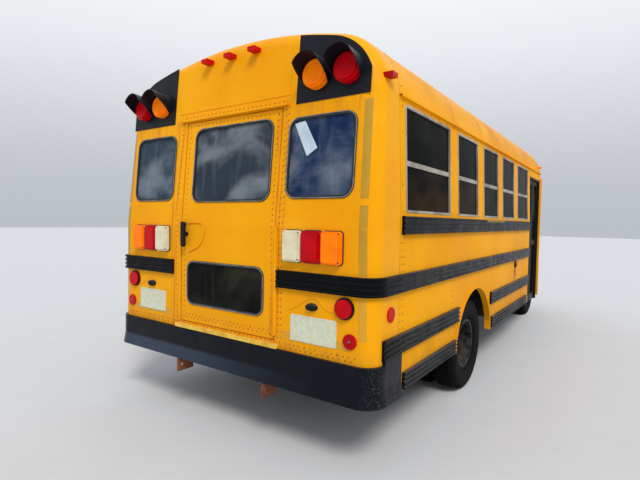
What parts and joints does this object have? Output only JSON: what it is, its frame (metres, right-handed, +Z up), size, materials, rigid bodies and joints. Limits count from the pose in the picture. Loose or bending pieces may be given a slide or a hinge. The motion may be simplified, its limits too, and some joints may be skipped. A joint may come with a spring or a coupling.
{
  "type": "short school bus",
  "caption": "Short yellow school bus on a van chassis: boxy body with rear emergency door, hinged doors, hood and stop arm, steered and rolling wheels.",
  "frame": {"origin": "on the ground under the middle of the bus's overall length and width", "axes": "+X towards the front, +Y to the bus's left, +Z up"},
  "size_m": [6.824, 2.544, 2.7519],
  "materials": {
    "yellow_paint": "semi-gloss",
    "black_paint": "satin",
    "red_paint": "semi-gloss",
    "wheel_paint": "dusty satin",
    "chassis_steel": "matt",
    "cast_iron": "rough",
    "exhaust_steel": "dull",
    "aluminium": "satin",
    "black_rubber": "matt",
    "floor_rubber": "ribbed matt",
    "tyre": "matt",
    "tinted_glass": "tinted",
    "red_lens": "gloss",
    "amber_lens": "gloss",
    "clear_lens": "gloss",
    "dark_plastic": "matt",
    "seat_vinyl": "satin vinyl"
  },
  "bodies": {
    "bus_body": {"side_wall_right": "yellow_paint", "side_wall_left": "yellow_paint", "roof": "yellow_paint", "front_cap": "yellow_paint", "rear_cap": "yellow_paint", "cab_shell": "yellow_paint", "front_fenders": "yellow_paint", "side_sashes": "aluminium", "rear_window_gaskets": "black_rubber", "rear_door_hinge": "yellow_paint", "floor": "floor_rubber", "stepwell": "black_paint", "entry_frame": "black_paint", "window_glass": "tinted_glass", "grille": "dark_plastic", "bumpers": "black_paint", "chassis_frame": "chassis_steel", "crossmembers": "chassis_steel", "floor_sills": "chassis_steel", "rear_axle": "cast_iron", "engine": "cast_iron", "fuel_tank": "chassis_steel", "exhaust": "exhaust_steel", "front_axle": "cast_iron", "springs": "chassis_steel", "rub_rails": "black_paint", "red_lamps": "red_lens", "amber_lamps": "amber_lens", "clear_lamps": "clear_lens", "lamp_hoods": "black_paint", "seats": "seat_vinyl", "seat_frames": "chassis_steel", "dashboard": "dark_plastic", "mirrors": "black_paint", "stop_sign_mount": "black_paint", "tow_eyes": "chassis_steel"},
    "rear_door": {"rear_door": "yellow_paint", "rear_door_gaskets": "black_rubber", "rear_door_glass": "tinted_glass", "rear_door_handle": "black_paint"},
    "entry_rear_leaf": {"entry_leaf_rear": "black_paint", "entry_glass_rear": "tinted_glass"},
    "entry_front_leaf": {"entry_leaf_front": "black_paint", "entry_glass_front": "tinted_glass"},
    "driver_door": {"driver_door": "yellow_paint", "driver_glass": "tinted_glass"},
    "hood": {"hood": "yellow_paint"},
    "stop_arm": {"stop_sign": "red_paint"},
    "knuckle_left": {"knuckle_left": "cast_iron"},
    "knuckle_right": {"knuckle_right": "cast_iron"},
    "front_wheel_left": {"front_tyre_left": "tyre", "front_rim_left": "wheel_paint"},
    "front_wheel_right": {"front_tyre_right": "tyre", "front_rim_right": "wheel_paint"},
    "rear_wheels_left": {"rear_tyres_left": "tyre", "rear_rims_left": "wheel_paint"},
    "rear_wheels_right": {"rear_tyres_right": "tyre", "rear_rims_right": "wheel_paint"}
  },
  "joints": [
    {"name": "rear_door_swing", "type": "hinge", "parent": "bus_body", "child": "rear_door", "pos_m": [-3.35, -0.505, 1.1], "axis": [0, 0, 1], "range_deg": [0, 110]},
    {"name": "entry_rear_swing", "type": "hinge", "parent": "bus_body", "child": "entry_rear_leaf", "pos_m": [1.143, -1.175, 1.2], "axis": [0, 0, -1], "range_deg": [0, 90]},
    {"name": "entry_front_swing", "type": "hinge", "parent": "bus_body", "child": "entry_front_leaf", "pos_m": [1.881, -1.175, 1.2], "axis": [0, 0, 1], "range_deg": [0, 90]},
    {"name": "driver_door_swing", "type": "hinge", "parent": "bus_body", "child": "driver_door", "pos_m": [2.029, 1.004, 1], "axis": [0, 0, -1], "range_deg": [0, 65]},
    {"name": "hood_lift", "type": "hinge", "parent": "bus_body", "child": "hood", "pos_m": [2.551, 0, 1.335], "axis": [0, -1, 0], "range_deg": [0, 50]},
    {"name": "stop_arm_swing", "type": "hinge", "parent": "bus_body", "child": "stop_arm", "pos_m": [0.992, 1.2795, 1.29], "axis": [0, 0, -1], "range_deg": [0, 90]},
    {"name": "steer_left", "type": "hinge", "parent": "bus_body", "child": "knuckle_left", "pos_m": [2.56, 0.78, 0.405], "axis": [0, 0, 1], "range_deg": [-30, 30]},
    {"name": "steer_right", "type": "hinge", "parent": "bus_body", "child": "knuckle_right", "pos_m": [2.56, -0.78, 0.405], "axis": [0, 0, 1], "range_deg": [-30, 30]},
    {"name": "front_wheel_left_spin", "type": "hinge", "parent": "knuckle_left", "child": "front_wheel_left", "pos_m": [2.56, 0.87, 0.405], "axis": [0, 1, 0], "continuous": true},
    {"name": "front_wheel_right_spin", "type": "hinge", "parent": "knuckle_right", "child": "front_wheel_right", "pos_m": [2.56, -0.87, 0.405], "axis": [0, 1, 0], "continuous": true},
    {"name": "rear_wheels_left_spin", "type": "hinge", "parent": "bus_body", "child": "rear_wheels_left", "pos_m": [-1.453, 0.935, 0.405], "axis": [0, 1, 0], "continuous": true},
    {"name": "rear_wheels_right_spin", "type": "hinge", "parent": "bus_body", "child": "rear_wheels_right", "pos_m": [-1.453, -0.935, 0.405], "axis": [0, 1, 0], "continuous": true}
  ],
  "couplings": [
    {"joint": "steer_right", "follows": "steer_left", "ratio": 1}
  ]
}
